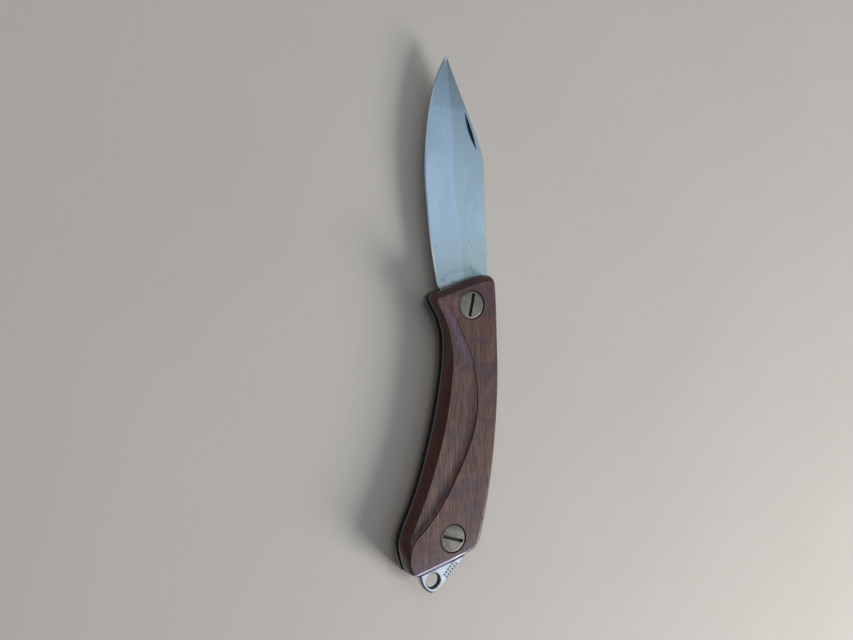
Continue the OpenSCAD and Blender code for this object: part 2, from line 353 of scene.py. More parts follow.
def finish_piece(obj, material, slot, body, *nodes):
    """Gives a piece its material, and puts it on its body in place of CAD nodes; the slot argument is not
    used.
    """
    obj.data.materials.clear()
    obj.data.materials.append(material)
    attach(obj, body)
    if nodes:
        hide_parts(*nodes)
    return obj


# ---------------------------------------------------------------- shader maths


class Wire:
    """One output of a shader node. Sums and products of wires add Math nodes."""

    def __init__(self, look, socket):
        self.look = look
        self.socket = socket

    def _math(self, operation, a, b=None):
        values = {0: a} if b is None else {0: a, 1: b}
        return self.look.node("ShaderNodeMath", {"operation": operation}, values)

    def __add__(self, other):
        return self._math("ADD", self, other)

    __radd__ = __add__

    def __mul__(self, other):
        return self._math("MULTIPLY", self, other)

    __rmul__ = __mul__

    def __sub__(self, other):
        return self._math("SUBTRACT", self, other)

    def __rsub__(self, other):
        return self._math("SUBTRACT", other, self)

    def __truediv__(self, other):
        return self._math("DIVIDE", self, other)

    def __pow__(self, other):
        return self._math("POWER", self, other)

    def fraction(self):
        return self._math("FRACT", self)

    def __abs__(self):
        return self._math("ABSOLUTE", self)

    def above(self, edge, width):
        """0 below edge and 1 above it, over a soft stretch of that width."""
        return self.look.node(
            "ShaderNodeMapRange", {"interpolation_type": "SMOOTHSTEP"},
            {"Value": self, "From Min": edge - width / 2, "From Max": edge + width / 2})

    def below(self, edge, width):
        return 1 - self.above(edge, width)


class Look:
    """A material under construction: a Principled surface and what feeds it."""

    def __init__(self, name):
        self.material = bpy.data.materials.new(name)
        self.material.use_nodes = True
        self.tree = self.material.node_tree
        self.surface = self.tree.nodes["Principled BSDF"]
        self.place = self.node("ShaderNodeTexCoord", output="Object")

    def node(self, kind, settings=None, values=None, output=0):
        """Adds a node, sets it up, and gives its sockets their values or links."""
        made = self.tree.nodes.new(kind)
        for key, value in (settings or {}).items():
            if key == "stops":
                self._set_stops(made.color_ramp, value)
            else:
                setattr(made, key, value)
        for key, value in (values or {}).items():
            self.feed(made.inputs[key], value)
        return Wire(self, made.outputs[output])

    def _set_stops(self, ramp, stops):
        while len(ramp.elements) < len(stops):
            ramp.elements.new(0.5)
        for element, (place, colour) in zip(ramp.elements, stops):
            element.position = place
            element.color = (*colour, 1)

    def feed(self, socket, value):
        if isinstance(value, Wire):
            self.tree.links.new(value.socket, socket)
        elif getattr(socket, "type", "") == "RGBA" and len(value) == 3:
            socket.default_value = (*value, 1)
        else:
            socket.default_value = value

    def stretched(self, x, y, z, turn=0.0):
        """The place on the piece with its scale changed along each direction."""
        return self.node(
            "ShaderNodeMapping", None,
            {"Vector": self.place, "Rotation": (0, 0, turn), "Scale": (x, y, z)})

    def noise(self, place, scale, detail=4.0, roughness=0.5, distortion=0.0):
        return self.node("ShaderNodeTexNoise", None, {
            "Vector": place, "Scale": scale, "Detail": detail, "Roughness": roughness,
            "Distortion": distortion}, "Fac")

    def mix(self, a, b, mask):
        """Colour a where the mask is 0 and colour b where it is 1."""
        return self.node("ShaderNodeMix", {"data_type": "RGBA"}, {0: mask, 6: a, 7: b}, 2)

    def ramp(self, value, *stops):
        return self.node("ShaderNodeValToRGB", {"stops": stops}, {0: value}, "Color")

    def separate(self, place=None):
        parts = self.node("ShaderNodeSeparateXYZ", None, {0: place or self.place})
        return [Wire(self, s) for s in parts.socket.node.outputs]

    def from_axis(self, centre):
        """Distance from an upright axis, in millimetres."""
        x, y, z = self.separate()
        dx, dy = (x - centre.x) / MM, (y - centre.y) / MM
        return (dx * dx + dy * dy) ** 0.5

    def beside(self, point, heading):
        """Millimetres along a line through a point of the plan, and to the left of it."""
        x, y, z = self.separate()
        dx, dy = (x - PIVOT.x) / MM - point[0], (y - PIVOT.y) / MM - point[1]
        c, s = math.cos(math.radians(heading)), math.sin(math.radians(heading))
        return dx * c + dy * s, dy * c - dx * s

    def set(self, **values):
        """Feeds inputs of the surface, named with an underscore for each space."""
        for name, value in values.items():
            self.feed(self.surface.inputs[name.replace("_", " ")], value)

    def bump(self, height, strength, distance):
        made = self.node(
            "ShaderNodeBump", None, {"Strength": strength, "Distance": distance, "Height": height})
        self.set(Normal=made)


# ---------------------------------------------------------------- materials


def wood_look(name, shift, wood):
    """Oiled reddish hardwood with its grain along the handle, dark pores and a cloudy plum figure, with
    painted light: shade on the sides facing left, violet reflections in the scoop and at the butt, a
    highlight along the butt edge with shade below it, and shade round the counterbores.
    """
    look = Look(name)
    base = look.node("ShaderNodeMapping", None, {"Vector": look.place, "Location": shift})

    def along(x, y, turn=0.0):
        return look.node(
            "ShaderNodeMapping", None, {"Vector": base, "Rotation": (0, 0, turn), "Scale": (x, y, x)})

    bands = look.noise(along(1, 0.04), 260, 4, 0.55, 0.2)
    streaks = look.noise(along(1, 0.035), 1300, 5, 0.65)
    fibres = look.noise(along(1, 0.04), 3000, 3, 0.6)
    pores = look.noise(along(1, 0.06), 2300, 2, 0.5)
    clouds = look.noise(along(0.75, 1, 0.3), 105, 4, 0.6, 0.9)
    colour = look.ramp(
        bands * 0.4 + streaks * 0.6, (0.4, wood.dark), (0.47, wood.heart), (0.53, wood.heart),
        (0.62, wood.light))
    plum = clouds.above(0.52, 0.13)
    colour = look.mix(colour, tuple(wood.plum), plum * 0.78)
    colour = look.mix(colour, tuple(wood.light), fibres.above(0.55, 0.1) * (0.55 - plum * 0.3))
    pore_marks = pores.below(0.4, 0.07)
    colour = look.mix(colour, tuple(c * 0.6 for c in wood.dark), pore_marks * 0.75)
    # Painted shade: faces turned to the left get a darker, redder colour.
    normal_x = look.separate(look.node("ShaderNodeTexCoord", output="Normal"))[0]
    wall = normal_x.below(-0.55, 0.3)
    colour = look.mix(colour, tuple(c * k for c, k in zip(wood.heart, (0.56, 0.36, 0.27))), wall * 0.75)
    # Painted reflection: violet clouds on the scoop floor near its shallow end.
    along_scoop, across_scoop = look.beside(*SCOOP_END)
    painted_scoop_reflection = abs(across_scoop).below(1, 1.8) * clouds.above(0.4, 0.2) * abs(along_scoop).below(11, 7)
    colour = look.mix(colour, (0.115, 0.085, 0.185), painted_scoop_reflection * (0.15 + fibres * 0.6))
    along_butt, butt = look.beside(*BUTT_EDGE)
    reach_in = along_butt.above(-2.4, 5.2)
    # Painted reflection: a violet sheen in clouds towards the butt.
    colour = look.mix(colour, (0.13, 0.105, 0.15), butt.above(-3, 7) * clouds * 0.55)
    # Painted highlight: a thin pale violet band on the rounding along the butt edge, where the coat is
    # also stronger.
    painted_reflection = butt.above(0, 0.15) * butt.below(0.5, 0.15) * reach_in
    colour = look.mix(colour, (0.62, 0.58, 0.8), painted_reflection * (0.4 + streaks))
    # Painted shade: a dark band on the lower rounding of the butt edge, below the painted highlight.
    under = butt.above(0.5, 0.15) * reach_in
    colour = look.mix(colour, (0.03, 0.018, 0.032), under * 0.8)
    # Painted shade: a dark ring on the wall and mouth of each counterbore, round the screw heads.
    painted_shade = 0
    for centre in (PIVOT, TAIL):
        reach = look.from_axis(centre)
        painted_shade = painted_shade + reach.above(4.6, 0.1) * reach.below(5.05, 0.2)
    colour = look.mix(colour, (0.012, 0.009, 0.008), painted_shade * 0.6)
    look.set(
        Base_Color=colour,
        Roughness=0.34 + (streaks - 0.5) * 0.25 + pore_marks * 0.25 + (clouds - 0.5) * 0.12,
        Coat_Roughness=0.2,
        Coat_Weight=0.02 + clouds * 0.16 + painted_reflection * 0.6,
        Specular_IOR_Level=0.42,
    )
    look.bump(streaks * 0.5 + fibres * 0.35 - pore_marks * 0.8, 0.45, 0.00012)
    return look.material


def steel_look(name, tint, rough, brush=(1, 0.05), wear=0.5):
    """Satin steel with fine brush marks, faint blotches and small scratches."""
    look = Look(name)
    marks = look.noise(look.stretched(brush[0], brush[1], 1), 5200, 3, 0.65)
    blotches = look.noise(look.place, 120, 4, 0.6, 0.6)
    scratches = look.noise(look.stretched(1, 0.06, 1, 0.5), 2400, 2, 0.5)
    dull = tuple(c * 0.72 for c in tint)
    colour = look.mix(tuple(tint), dull, blotches.above(0.55, 0.3) * wear)
    colour = look.mix(colour, tuple(c * 0.6 for c in tint), scratches.above(0.7, 0.05) * wear * 0.6)
    look.set(
        Base_Color=colour,
        Metallic=1.0,
        Roughness=rough + (marks - 0.5) * 0.16 + (blotches - 0.5) * 0.12,
    )
    look.bump(marks + scratches.above(0.7, 0.05) * 0.6, 0.25, 0.00003)
    return look.material


def spring_look(tint):
    """Bright spring steel with two rows of small punched dots along the slanting side of the tab, and a
    painted shadow along the butt.
    """
    look = Look("Spring_Steel")
    along, across = look.beside((-4.4, -90.6), 48.7)
    on_top = look.separate()[2].above(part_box("backspring")[1].z - 0.2 * MM, 0.1 * MM)
    patch = abs(along).below(3.1, 0.05) * abs(across).below(1.3, 0.05) * on_top
    column = (along * 0.9 + 20).fraction() - 0.5
    row = (across * 0.77 + 20).fraction() - 0.5
    dots = ((column * column + row * row) ** 0.5).below(0.3, 0.16) * patch
    marks = look.noise(look.stretched(1, 0.3, 1, 0.8), 4200, 3, 0.65)
    blotches = look.noise(look.place, 160, 4, 0.6, 0.6)
    stains = look.noise(look.place, 700, 4, 0.6, 0.8)
    colour = look.mix(tint, tuple(c * 0.72 for c in tint), blotches.above(0.52, 0.3) * 0.6)
    colour = look.mix(colour, tuple(c * 0.45 for c in tint), stains.above(0.62, 0.1) * 0.35)
    colour = look.mix(colour, tuple(c * 0.55 for c in tint), patch * 0.5)
    colour = look.mix(colour, (0.02, 0.024, 0.04), dots * 0.95)
    # Painted shadow: a dark band on the tab along the butt, under the edge of the scale.
    painted_shade = look.beside(*BUTT_EDGE)[1].below(3.75, 0.25)
    colour = look.mix(colour, (0.03, 0.028, 0.055), painted_shade * 0.9)
    look.set(
        Base_Color=colour, Metallic=1.0 - dots * 0.6,
        Roughness=0.33 + (marks - 0.5) * 0.16 + (blotches - 0.5) * 0.15 + dots * 0.35)
    look.bump(marks * 0.25 - dots * 0.3, 0.3, 0.00008)
    return look.material


def hole_shade_look():
    """Dark, unpolished steel inside the lanyard hole, its dark colour painted shade with a mottle."""
    look = Look("Shaded_Hole_Steel")
    shade_mottle = look.noise(look.place, 1800, 4, 0.6)
    look.set(
        Base_Color=look.mix((0.02, 0.018, 0.017), (0.07, 0.068, 0.066), shade_mottle.above(0.55, 0.15)),
        Metallic=0.5, Roughness=0.6 + (shade_mottle - 0.5) * 0.3)
    look.bump(shade_mottle, 0.4, 0.00006)
    return look.material


def blade_look(name, tint, rough, painted_tip_reflection):
    """Ground blade steel: cross-ground marks, wear rings round the pivot and a few sap stains, with a
    painted reflection that makes it darker and bluer towards the tip and darker and less blue at the heel.
    """
    look = Look(name)
    x, y, z = look.separate()
    grinding = look.noise(look.stretched(0.05, 1, 1, 0.06), 3600, 4, 0.7)
    length_marks = look.noise(look.stretched(1, 0.04, 1), 2600, 3, 0.6)
    blotches = look.noise(look.stretched(1, 0.5, 1), 85, 5, 0.6, 0.7)
    stains = look.noise(look.place, 330, 4, 0.65, 1.2)
    near_heel = y.below(PIVOT.y + 0.03, 0.03)
    reach = look.from_axis(PIVOT)
    rings = (reach.above(11.4, 0.5) - reach.above(12.6, 0.7)) * y.above(PIVOT.y + 0.006, 0.004)
    colour = look.mix(tint, tuple(c * 0.8 for c in tint), blotches.above(0.52, 0.35) * 0.7)
    # Painted reflection: darker and bluer towards the tip.
    towards_tip = y.above(PIVOT.y + 0.06, 0.055)
    colour = look.mix(colour, tuple(c * k for c, k in zip(tint, painted_tip_reflection)), towards_tip)
    # Painted reflection: darker and less blue at the heel.
    heel = y.below(PIVOT.y + 0.016, 0.03)
    colour = look.mix(colour, (tint[0] * 0.74, tint[1] * 0.69, tint[2] * 0.57), heel)
    colour = look.mix(colour, (0.25, 0.27, 0.27), stains.above(0.66, 0.06) * (0.15 + near_heel * 0.5))
    colour = look.mix(colour, tuple(c * 0.62 for c in tint), rings * 0.5)
    look.set(
        Base_Color=colour,
        Metallic=1.0,
        Roughness=rough + (grinding - 0.5) * 0.12 + (blotches - 0.5) * 0.14
        + stains.above(0.64, 0.08) * 0.12,
    )
    look.bump(grinding * 0.7 + length_marks * 0.5, 0.3, 0.00003)
    return look.material


def edge_look(tint):
    """The hand-honed strip along the cutting edge: a painted dark reflection along it and a painted white
    highlight at the heel.
    """
    look = Look("Honed_Edge")
    x, y, z = look.separate()
    nicks = look.noise(look.stretched(1, 3, 1), 1500, 3, 0.6)
    heel = y.below(PIVOT.y + 0.024, 0.02)
    # Painted reflection: dark along the edge, a white, less metallic highlight at the heel.
    painted_reflection = look.mix(tuple(c * 0.5 for c in tint), (0.93, 0.94, 0.93), heel)
    look.set(
        Base_Color=look.mix(painted_reflection, (0.42, 0.46, 0.5), nicks.above(0.58, 0.1) * (0.6 - heel * 0.4)),
        Metallic=1 - heel * 0.85, Roughness=0.3 + nicks * 0.15)
    look.bump(nicks, 0.3, 0.00003)
    return look.material


def nick_look():
    """Painted shade inside the nail nick: a dark bluish, mottled colour."""
    look = Look("Nail_Nick")
    shade_mottle = look.noise(look.place, 1500, 4, 0.6)
    look.set(
        Base_Color=look.mix((0.035, 0.05, 0.12), (0.1, 0.13, 0.22), shade_mottle.above(0.55, 0.2)),
        Metallic=0.7, Roughness=0.45 + (shade_mottle - 0.5) * 0.3)
    look.bump(shade_mottle, 0.3, 0.00004)
    return look.material


def screw_look(name, metal):
    """Dull nickel silver with scuffs, and painted shade on the parts that sit deep in the counterbores,
    round the rim of the head.
    """
    look = Look(name)
    blotches = look.noise(look.place, 420, 5, 0.6, 0.8)
    fine = look.noise(look.place, 3800, 3, 0.6)
    scuffs = look.noise(look.stretched(1, 0.12, 1, 0.7), 2100, 3, 0.6)
    tint = metal
    colour = look.mix(tint, tuple(c * 0.6 for c in tint), blotches.above(0.5, 0.25) * 0.7)
    colour = look.mix(colour, (0.16, 0.13, 0.08), fine.above(0.62, 0.08) * 0.5)
    colour = look.mix(colour, (0.4, 0.4, 0.42), scuffs.above(0.68, 0.08) * 0.3)
    x, y, z = look.separate()
    # Painted shade: everything more than 0.45 mm in from the faces of the handle turns dark and less
    # metallic.
    sunk_shade = abs(z - TABLE_TO_TOP / 2).below(TABLE_TO_TOP / 2 - 0.00045, 0.0003)
    colour = look.mix(colour, (0.02, 0.017, 0.014), sunk_shade * 0.9)
    look.set(
        Base_Color=colour, Metallic=0.9 - sunk_shade * 0.6,
        Roughness=0.5 + (blotches - 0.5) * 0.25 + (fine - 0.5) * 0.15 + sunk_shade * 0.2)
    look.bump(blotches * 0.6 + fine * 0.4 + scuffs.above(0.66, 0.06) * 0.4, 0.4, 0.00004)
    return look.material


def floor_look():
    """Plain pale floor with the faintest mottling."""
    look = Look("Pale_Floor")
    mottle = look.noise(look.place, 14, 4, 0.5)
    look.set(
        Base_Color=look.mix((0.56, 0.535, 0.5), (0.52, 0.495, 0.46), mottle),
        Roughness=0.75 + (mottle - 0.5) * 0.1)
    look.bump(look.noise(look.place, 900, 3, 0.5), 0.05, 0.0002)
    return look.material


# ---------------------------------------------------------------- pieces


def tucked(outer, face, fine, low):
    """The face edge of the rear scale: along the slot it is bevelled further in, from the liner down."""
    out = []
    least = 2.6
    for i, (p, f) in enumerate(zip(outer, face)):
        place = i / fine
        share = min(max((place - 19) / 2, 0), 1) + min(max((3 - place) / 2, 0), 1)
        further = max(least - f[0] + p.x, 0) * share
        out.append((f[0] + further, f[1], f[2] + (low - f[2]) * share, f[3] * (1 - share)))
    return out


def scale_rings(rear, steps=8, fine=6):
    """Rings of a wooden scale from the liner to the face, in millimetres, standing on height 0."""
    top = (TABLE_TO_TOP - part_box("front_scale")[0].z) / MM
    outer = curve(HANDLE, fine, closed=True)
    face = curve(FACE, fine, closed=True)
    if rear:
        face = tucked(outer, face, fine, top - 0.2)
    rings = [[(p.x, p.y, 0.0) for p in outer]]
    for k in range(steps + 1):
        t = k / steps
        ring = []
        for p, f in zip(outer, face):
            drop, bulge = f[2], f[3]
            inset = (1 - bulge) * t + bulge * (1 - math.cos(math.pi / 2 * t))
            rise = (1 - bulge) * t + bulge * math.sin(math.pi / 2 * t)
            ring.append((p.x + (f[0] - p.x) * inset, p.y + (f[1] - p.y) * inset, top - drop * (1 - rise)))
        rings.append(ring)
    return rings, top


def end_polygons(n):
    """The flat of a scale as simple polygons: the top end, strips across the handle, and the butt."""
    fine = n // len(HANDLE)
    back, butt, slot = 8 * fine, 15 * fine, 19 * fine
    polygons = [[back] + list(range(back))]
    for k in range(butt - back):
        polygons.append([back + k, back + k + 1, n - 2 * k - 2, n - 2 * k - 1, (n - 2 * k) % n])
    return polygons + [list(range(butt, slot + 1))]


def scoop_shape(settings, top, place):
    """Cutter of the thumb scoop: a short steep step, a hollow beside it, then a gently sinking floor."""
    depth, fillet = settings.scoop_depth / MM, settings.fillet / MM
    side = Vector((-1, 0.17)).normalized()
    rings = []
    for s in curve(SCOOP, 12):
        d = max(depth * s.z, 0.012)
        profile = [(-0.12, top + 1), (-0.04, top), (0.12, top - 0.5 * d)]
        for k in range(1, 9):
            t = k / 8
            profile.append((0.12 + fillet * t, top - d * (0.5 + 0.5 * (1 - (1 - t) ** 2))))
        profile += [(12, top - d), (30, top - d), (30, top + 1)]
        rings.append([place(s.x + side.x * a, s.y + side.y * a, z) for a, z in profile])
    return skin(rings)


def make_scale(name, node, rings_place, wood, material, rear=False):
    """One wooden scale with its scoop and its two counterbores."""
    rings, top = scale_rings(rear)
    ends = end_polygons(len(rings[0]))
    obj = new_object(name, skin([[rings_place(*p) for p in ring] for ring in rings], ends))
    combine(obj, scoop_shape(wood, top, rings_place))
    head_seat = top - (HEAD_SUNK + HEAD_THICK) / MM
    wall = HEAD_RADIUS + HEAD_GAP
    mouth = wall + 0.14 * MM
    for centre in (PIVOT, TAIL):
        x, y = (centre.x - PIVOT.x) / MM, (centre.y - PIVOT.y) / MM
        profile = [(BARREL_HOLE, -1), (BARREL_HOLE, head_seat), (wall, head_seat), (wall, top - 0.12),
                   (mouth, top + 0.02), (mouth, top + 1)]
        sides = 96
        cutter = []
        for radius, height in profile:
            cutter.append([
                rings_place(x + radius / MM * math.cos(2 * math.pi * i / sides),
                            y + radius / MM * math.sin(2 * math.pi * i / sides), height)
                for i in range(sides)])
        combine(obj, skin(cutter))
    soften(obj, 0.1 * MM)
    return finish_piece(obj, material, "wood", "handle", node)


class KNIFE_OT_scales(bpy.types.Operator):
    """Make both wooden scales"""

    bl_idname = "knife.scales"
    bl_label = "Wooden scales"

    def execute(self, context):
        wood = context.scene.knife.wood
        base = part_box("front_scale")[0].z / MM
        rear_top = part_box("rear_scale")[1].z / MM
        make_scale(
            "Front_Scale", "front_scale", lambda x, y, z: placed(x, y, base + z), wood,
            wood_look("Front_Hardwood", (0, 0, 0), wood))
        make_scale(
            "Rear_Scale", "rear_scale", lambda x, y, z: placed(x, y, rear_top - z), wood,
            wood_look("Rear_Hardwood", (0.31, 0.17, 0.05), wood), rear=True)
        return {"FINISHED"}


class KNIFE_OT_liners(bpy.types.Operator):
    """Finish the two steel liners"""

    bl_idname = "knife.liners"
    bl_label = "Liners"

    def execute(self, context):
        material = steel_look("Liner_Steel", (0.27, 0.275, 0.29), 0.45)
        for node in ("front_liner", "rear_liner"):
            frame["nodes"][node].data.materials.clear()
            frame["nodes"][node].data.materials.append(material)
        return {"FINISHED"}


def blade_section(y, lines, steel, low, thick):
    """One cross section of the blade at the height y, in millimetres."""
    edge, grind, spine = (x_at(line, y) for line in lines)
    middle_z, land = low + thick / 2, steel.edge_land / MM / 2
    thick *= min(1, 0.25 + 0.75 * (spine - edge) / 14)
    land = min(land, thick * 0.25)
    span = max(grind - edge, 0.02)
    bevel = min(steel.edge_bevel / MM, span * 0.3)
    nose = min(0.25, (spine - grind) * 0.2)
    rise = land + (thick / 2 - land) * 0.16
    upper = [
        (spine, thick / 2 - nose), (spine - nose, thick / 2), (grind, thick / 2),
        (grind - span * 0.06, thick / 2 - (thick / 2 - rise) * 0.045),
        (edge + bevel, rise), (edge, land)]
    section = [(x, y, middle_z + h) for x, h in upper]
    return section + [(x, y, middle_z - h) for x, h in reversed(upper)]


def nick_shape(steel, top):
    """Cutter of the nail nick: a crescent trough, steep on the spine side."""
    a, b = Vector(NICK[0]), Vector(NICK[1])
    along = (b - a).normalized()
    across = Vector((along.y, -along.x))
    if across.x < 0:
        across = -across
    length, width, depth = (b - a).length, steel.nick_width / MM, steel.nick_depth / MM
    rings = []
    count = 24
    for k in range(count + 1):
        t = -1 + 2 * k / count
        swell = max(1 - t * t, 0.004)
        c = a + along * (length * (t + 1) / 2)
        inner, outer = -width * 0.72 * swell, width * 0.28 * swell
        points = [(outer, 1.0), (outer, 0.0), (outer * 0.8, -depth * swell),
                  (inner * 0.35, -depth * swell * 0.72), (inner, 0.0), (inner, 1.0)]
        rings.append([placed(c.x + across.x * w, c.y + across.y * w, top + z) for w, z in points])
    return skin(rings)


def paint_blade(obj, lines, steel):
    """Gives each face of the blade its finish: flats 0, bevels 1, honed edge 2, nail nick 3."""
    low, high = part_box("blade")
    nick = [placed(*end, high.z / MM) for end in NICK]
    edge, grind, spine = lines
    for face in obj.data.polygons:
        x, y = ((face.center[k] - PIVOT[k]) / MM for k in (0, 1))
        honed = min(steel.edge_bevel / MM, (x_at(grind, y) - x_at(edge, y)) * 0.3)
        detour = sum((face.center - end).length for end in nick) - (nick[0] - nick[1]).length
        inside = x < x_at(spine, y) - 0.3 and face.center.z > (low.z + high.z) / 2
        if detour < 0.3 * MM and inside and face.normal.z < 0.995:
            face.material_index = 3
        elif y > EDGE[-1][1] - 1 and face.normal.y > 0.9:
            face.material_index = 2
        elif face.normal.x < -0.01 and y > EDGE[0][1]:
            face.material_index = 2 if x - x_at(edge, y) < honed * 0.95 else 1


class KNIFE_OT_blade(bpy.types.Operator):
    """Make the ground blade with its tang and nail nick"""

    bl_idname = "knife.blade"
    bl_label = "Blade"

    def execute(self, context):
        steel = context.scene.knife.steel
        low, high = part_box("blade")
        low_z, thick = low.z / MM, (high.z - low.z) / MM
        lines = [curve(line, 8) for line in (EDGE, GRIND, SPINE)]
        tip = EDGE[-1][1]
        count = 120
        rings = []
        for k in range(count + 1):
            y = EDGE[0][1] + (tip - 0.2 - EDGE[0][1]) * (1 - (1 - k / count) ** 1.5)
            rings.append([placed(*p) for p in blade_section(y, lines, steel, low_z, thick)])
        obj = new_object("Blade", skin(rings))
        combine(obj, turned([(TANG, low.z), (TANG, high.z)], PIVOT), "UNION")
        shoulder = [(9.5, 8), (9.5, SHOULDER_Y), (4, SHOULDER_Y), (1, 4), (1, 8)]
        combine(obj, skin([[placed(x, y, low_z) for x, y in shoulder],
                           [placed(x, y, low_z + thick) for x, y in shoulder]]), "UNION")
        combine(obj, turned([(PIVOT_HOLE, low.z - MM), (PIVOT_HOLE, high.z + MM)], PIVOT))
        combine(obj, nick_shape(steel, low_z + thick))
        soften(obj, 0.0, sharp_from=1.5)
        tint = tuple(steel.blade)
        # Painted reflection: the flats get a darker, less blue copy of the bevels' tint; they are also
        # rougher.
        flat = blade_look(
            "Blade_Flats", (tint[0] * 0.9, tint[1] * 0.93, tint[2] * 0.88), 0.36, (0.7, 0.69, 0.74))
        finish_piece(obj, flat, "blade_steel", "blade", "blade")
        obj.data.materials.append(blade_look("Blade_Bevels", tint, 0.3, (0.65, 0.72, 0.76)))
        obj.data.materials.append(edge_look(tint))
        obj.data.materials.append(nick_look())
        paint_blade(obj, lines, steel)
        return {"FINISHED"}


def offset_inwards(points, widths):
    """A closed outline moved inwards by a width at each point."""
    n = len(points)
    area = sum(points[i].x * points[(i + 1) % n].y - points[(i + 1) % n].x * points[i].y for i in range(n))
    side = 1 if area > 0 else -1
    out = []
    for i, p in enumerate(points):
        d = (points[(i + 1) % n] - points[i - 1]).normalized()
        out.append(p + Vector((-d.y, d.x)) * side * widths[i])
    return out


class KNIFE_OT_backspring(bpy.types.Operator):
    """Make the backspring and its bevelled lanyard tab"""

    bl_idname = "knife.backspring"
    bl_label = "Backspring and tab"

    def execute(self, context):
        steel = context.scene.knife.steel
        low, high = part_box("backspring")
        outline = curve(HANDLE, 6, closed=True)
        part = [Vector((10, 2.8))] + outline[9 * 6:15 * 6 + 1] + [Vector((1.6, -86))]
        part += list(reversed(curve(TAB, 6)[:-3])) + outline[19 * 6:20 * 6 + 1]
        part += list(reversed(curve(SPRING_INSIDE, 6)))
        bevel = steel.tab_bevel / MM
        widths = [0.1 + (bevel - 0.1) * min(max((-88.5 - p.y) / 2, 0), 1) for p in part]
        inner = offset_inwards(part, widths)

        def ring(points, drop, z):
            return [placed(p.x, p.y, z + drop * w * 0.7) for p, w in zip(points, widths)]

        bottom, top = low.z / MM, high.z / MM
        obj = new_object("Backspring", skin([
            ring(inner, 0, bottom), ring(part, 1, bottom), ring(part, -1, top), ring(inner, 0, top)]))
        lanyard = placed(*LANYARD, 0)
        mouth = LANYARD_HOLE + LANYARD_LIP + MM
        combine(obj, turned([
            (mouth, low.z - MM), (LANYARD_HOLE, low.z + LANYARD_LIP),
            (LANYARD_HOLE, high.z - LANYARD_LIP), (mouth, high.z + MM)], lanyard))
        combine(obj, turned([(BARREL_HOLE, low.z - MM), (BARREL_HOLE, high.z + MM)], TAIL))
        pin = placed(*SPRING_PIN, 0)
        combine(obj, turned([(PIN_HOLE, low.z - MM), (PIN_HOLE, high.z + MM)], pin, 48))
        soften(obj, 0.0, sharp_from=25)
        finish_piece(
            obj, spring_look(tuple(steel.spring)), "spring_steel", "handle", "backspring")
        obj.data.materials.append(hole_shade_look())
        for face in obj.data.polygons:
            if abs(face.normal.z) < 0.3 and (face.center - lanyard).xy.length < LANYARD_HOLE * 1.1:
                face.material_index = 1
        return {"FINISHED"}


def head_profile(crown):
    """Half profile of a head from the underside of its rim to its crown, heights from the underside."""
    rim, lip, shoulder = HEAD_RADIUS, 0.22 * MM, HEAD_THICK - crown
    points = [(rim, 0), (rim, shoulder - lip), (rim - lip * 0.4, shoulder - lip * 0.35),
              (rim - lip, shoulder)]
    for k in range(1, 9):
        t = k / 8
        points.append(((rim - lip) * (1 - t) + AXIS * t, HEAD_THICK - crown * (1 - t) ** 2))
    return points


class KNIFE_OT_screws(bpy.types.Operator):
    """Make the two binding screws and their barrel nuts"""

    bl_idname = "knife.screws"
    bl_label = "Binding screws"

    def execute(self, context):
        screws = context.scene.knife.screws
        bright = screw_look("Dull_Nickel_Silver", tuple(screws.metal))
        # A darker, bluer copy of the same metal, for the tail screw and its barrel nut.
        darker_metal = screw_look("Darker_Nickel_Silver", tuple(c * k for c, k in zip(
            screws.metal, (0.68, 0.7, 0.78))))
        head = head_profile(screws.crown)
        for name, node, centre, angle, material in (
                ("Pivot_Screw", "pivot_screw", PIVOT, 79, bright),
                ("Tail_Screw", "tail_screw", TAIL, -18, darker_metal)):
            low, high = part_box(node)
            profile = [(SHANK, low.z), (SHANK, high.z - HEAD_THICK)]
            profile += [(r, high.z - HEAD_THICK + z) for r, z in head]
            self.make(name, node, profile, centre, angle, high.z, screws, material)
        for name, node, centre, angle, material in (
                ("Pivot_Barrel_Nut", "pivot_barrel_nut", PIVOT, 30, bright),
                ("Tail_Barrel_Nut", "tail_barrel_nut", TAIL, -50, darker_metal)):
            low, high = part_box(node)
            floor = low.z + BARREL_FLOOR
            profile = [(AXIS, floor), (SHANK, floor), (SHANK, high.z), (BARREL, high.z),
                       (BARREL, low.z + HEAD_THICK)]
            profile += [(r, low.z + HEAD_THICK - z) for r, z in head]
            self.make(name, node, profile, centre, angle, low.z, screws, material)
        return {"FINISHED"}

    def make(self, name, node, profile, centre, angle, face_z, screws, material):
        obj = new_object(name, turned(profile, centre))
        length = 2 * (HEAD_RADIUS - screws.slot_stop)
        slot = block(length, screws.slot_width, 2 * screws.slot_depth,
                     Vector((centre.x, centre.y, face_z)), math.radians(angle))
        combine(obj, slot)
        soften(obj, 0.07 * MM)
        finish_piece(obj, material, "screw_metal", "handle", node)


class KNIFE_OT_inner_parts(bpy.types.Operator):
    """Finish the washers, the bush and the spring pin"""

    bl_idname = "knife.inner_parts"
    bl_label = "Washers, bush and pin"

    def execute(self, context):
        looks = {
            "pivot_bush": steel_look("Bush_Bronze", (0.62, 0.43, 0.22), 0.35),
            "front_pivot_washer": steel_look("Washer_Brass", (0.75, 0.57, 0.30), 0.3),
            "spring_pin": steel_look("Pin_Steel", (0.55, 0.56, 0.58), 0.3),
        }
        looks["rear_pivot_washer"] = looks["front_pivot_washer"]
        for node, material in looks.items():
            frame["nodes"][node].data.materials.clear()
            frame["nodes"][node].data.materials.append(material)
        return {"FINISHED"}


# ---------------------------------------------------------------- stage


def add_area(name, place, aim, size, power, colour):
    """A square soft light at a place, aimed at a point."""
    light = bpy.data.lights.new(name, "AREA")
    light.shape = "SQUARE"
    light.size = size
    light.energy = power
    light.color = colour
    obj = bpy.data.objects.new(name, light)
    obj.location = place
    obj.rotation_euler = (Vector(aim) - Vector(place)).to_track_quat("-Z", "Y").to_euler()
    bpy.context.scene.collection.objects.link(obj)


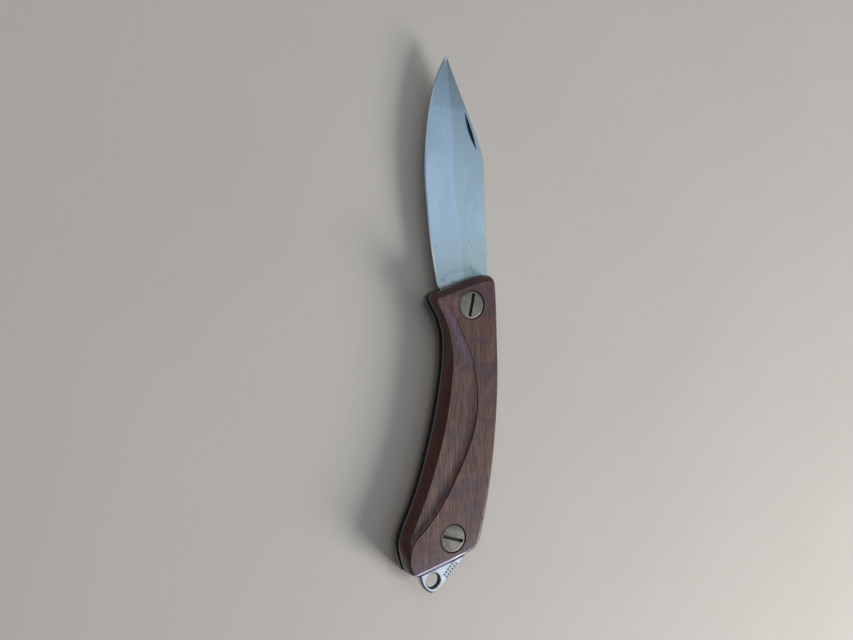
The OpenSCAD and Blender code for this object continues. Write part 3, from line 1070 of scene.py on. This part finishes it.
class KNIFE_OT_stage(bpy.types.Operator):
    """Set up the floor, the lights and the camera"""

    bl_idname = "knife.stage"
    bl_label = "Stage"

    def execute(self, context):
        floor = new_object("Floor", ([(-3, -3, 0), (3, -3, 0), (3, 3, 0), (-3, 3, 0)], [[0, 1, 2, 3]]))
        floor.data.materials.append(floor_look())
        world = bpy.data.worlds.new("Soft_Room")
        world.use_nodes = True
        world.node_tree.nodes["Background"].inputs["Color"].default_value = (0.9, 0.94, 1, 1)
        world.node_tree.nodes["Background"].inputs["Strength"].default_value = 0.13
        context.scene.world = world
        add_area("Sky_Panel", (0.5, -0.14, 0.88), (0, 0, 0), 0.95, 1.9, (0.62, 0.82, 1))
        add_area("Window_Light", (0.75, -0.6, 0.5), (0, 0, 0), 0.45, 12, (1, 0.96, 0.92))
        add_area("Ceiling_Light", (-0.3, 0.5, 0.9), (0, 0, 0), 0.8, 2.5, (1, 0.97, 0.94))
        self.camera(context.scene)
        context.scene.view_settings.view_transform = "Standard"
        return {"FINISHED"}

    def camera(self, scene):
        """The camera stands to the left of the knife and looks down at the pivot end."""
        data = bpy.data.cameras.new("Camera")
        data.lens = 37.98
        data.sensor_width = 36
        data.clip_start = 0.01
        cam = bpy.data.objects.new("Camera", data)
        place, aim = Vector((-0.1504, 0.0071, 0.2740)), Vector((-0.00397, 0.00132, 0))
        forward = (aim - place).normalized()
        upright = Vector((0, 1, 0))
        upright = (upright - forward * upright.dot(forward)).normalized()
        right = forward.cross(upright)
        roll = Matrix.Rotation(math.radians(-0.57), 4, forward)
        turn = Matrix((right, upright, -forward)).transposed().to_4x4()
        cam.matrix_world = Matrix.Translation(place) @ (roll @ turn)
        scene.collection.objects.link(cam)
        scene.camera = cam


# ---------------------------------------------------------------- panel


OPERATORS = (
    KNIFE_OT_stage, KNIFE_OT_scales, KNIFE_OT_liners, KNIFE_OT_blade, KNIFE_OT_backspring,
    KNIFE_OT_screws, KNIFE_OT_inner_parts)


class KNIFE_PT_panel(bpy.types.Panel):
    """Pieces of the grafting knife"""

    bl_label = "Grafting Knife"
    bl_idname = "KNIFE_PT_panel"
    bl_space_type = "VIEW_3D"
    bl_region_type = "UI"
    bl_category = "Knife"

    def draw(self, context):
        settings = context.scene.knife
        for group in (settings.wood, settings.steel, settings.screws):
            box = self.layout.box()
            for name in group.__annotations__:
                box.prop(group, name)
        for operator in OPERATORS:
            self.layout.operator(operator.bl_idname)


CLASSES = (KnifeWood, KnifeSteel, KnifeScrews, KnifeSettings, *OPERATORS, KNIFE_PT_panel)


def register():
    for cls in CLASSES:
        bpy.utils.register_class(cls)
    bpy.types.Scene.knife = PointerProperty(type=KnifeSettings)


def unregister():
    del bpy.types.Scene.knife
    for cls in reversed(CLASSES):
        bpy.utils.unregister_class(cls)


def main():
    register()
    bpy.ops.knife.stage()
    bpy.ops.knife.scales()
    bpy.ops.knife.liners()
    bpy.ops.knife.blade()
    bpy.ops.knife.backspring()
    bpy.ops.knife.screws()
    bpy.ops.knife.inner_parts()


if __name__ == "__main__":
    main()
